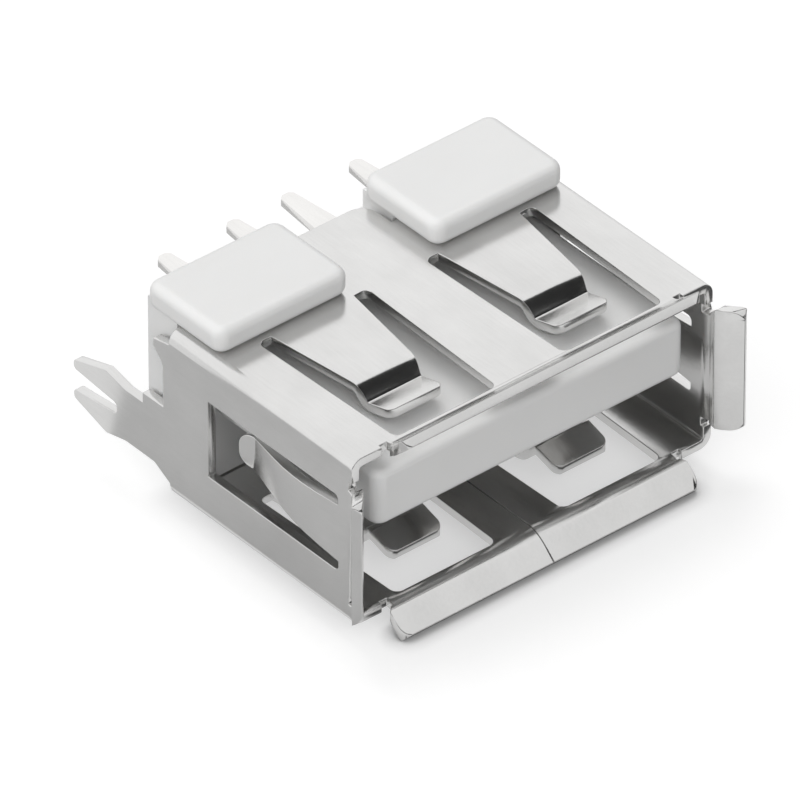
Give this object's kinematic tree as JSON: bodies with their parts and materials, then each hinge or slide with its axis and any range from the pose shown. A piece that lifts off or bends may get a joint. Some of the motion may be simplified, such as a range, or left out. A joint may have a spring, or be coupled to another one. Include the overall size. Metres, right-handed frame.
{
  "type": "usb-a socket",
  "caption": "Upright USB-A socket with a flared and sprung metal shell, forked legs, and a white insulator with standoff blocks.",
  "frame": {"origin": "middle of the plug opening at the mouth plane, where the flared lips end", "axes": "+Y runs into the socket along the plug's way, +Z points from the tongue's contacts towards the standoff blocks, +X is to the right when looking into the mouth"},
  "size_m": [0.0144, 0.0131, 0.0072],
  "materials": {
    "shell": "bright tin-plated steel sheet with a faint grain",
    "insulator": "white moulded plastic, satin",
    "contact": "copper alloy with a bright tin plating"
  },
  "bodies": {
    "root": {"shell": "shell", "insulator": "insulator", "contact_power": "contact", "contact_data_minus": "contact", "contact_data_plus": "contact", "contact_ground": "contact"}
  },
  "joints": []
}
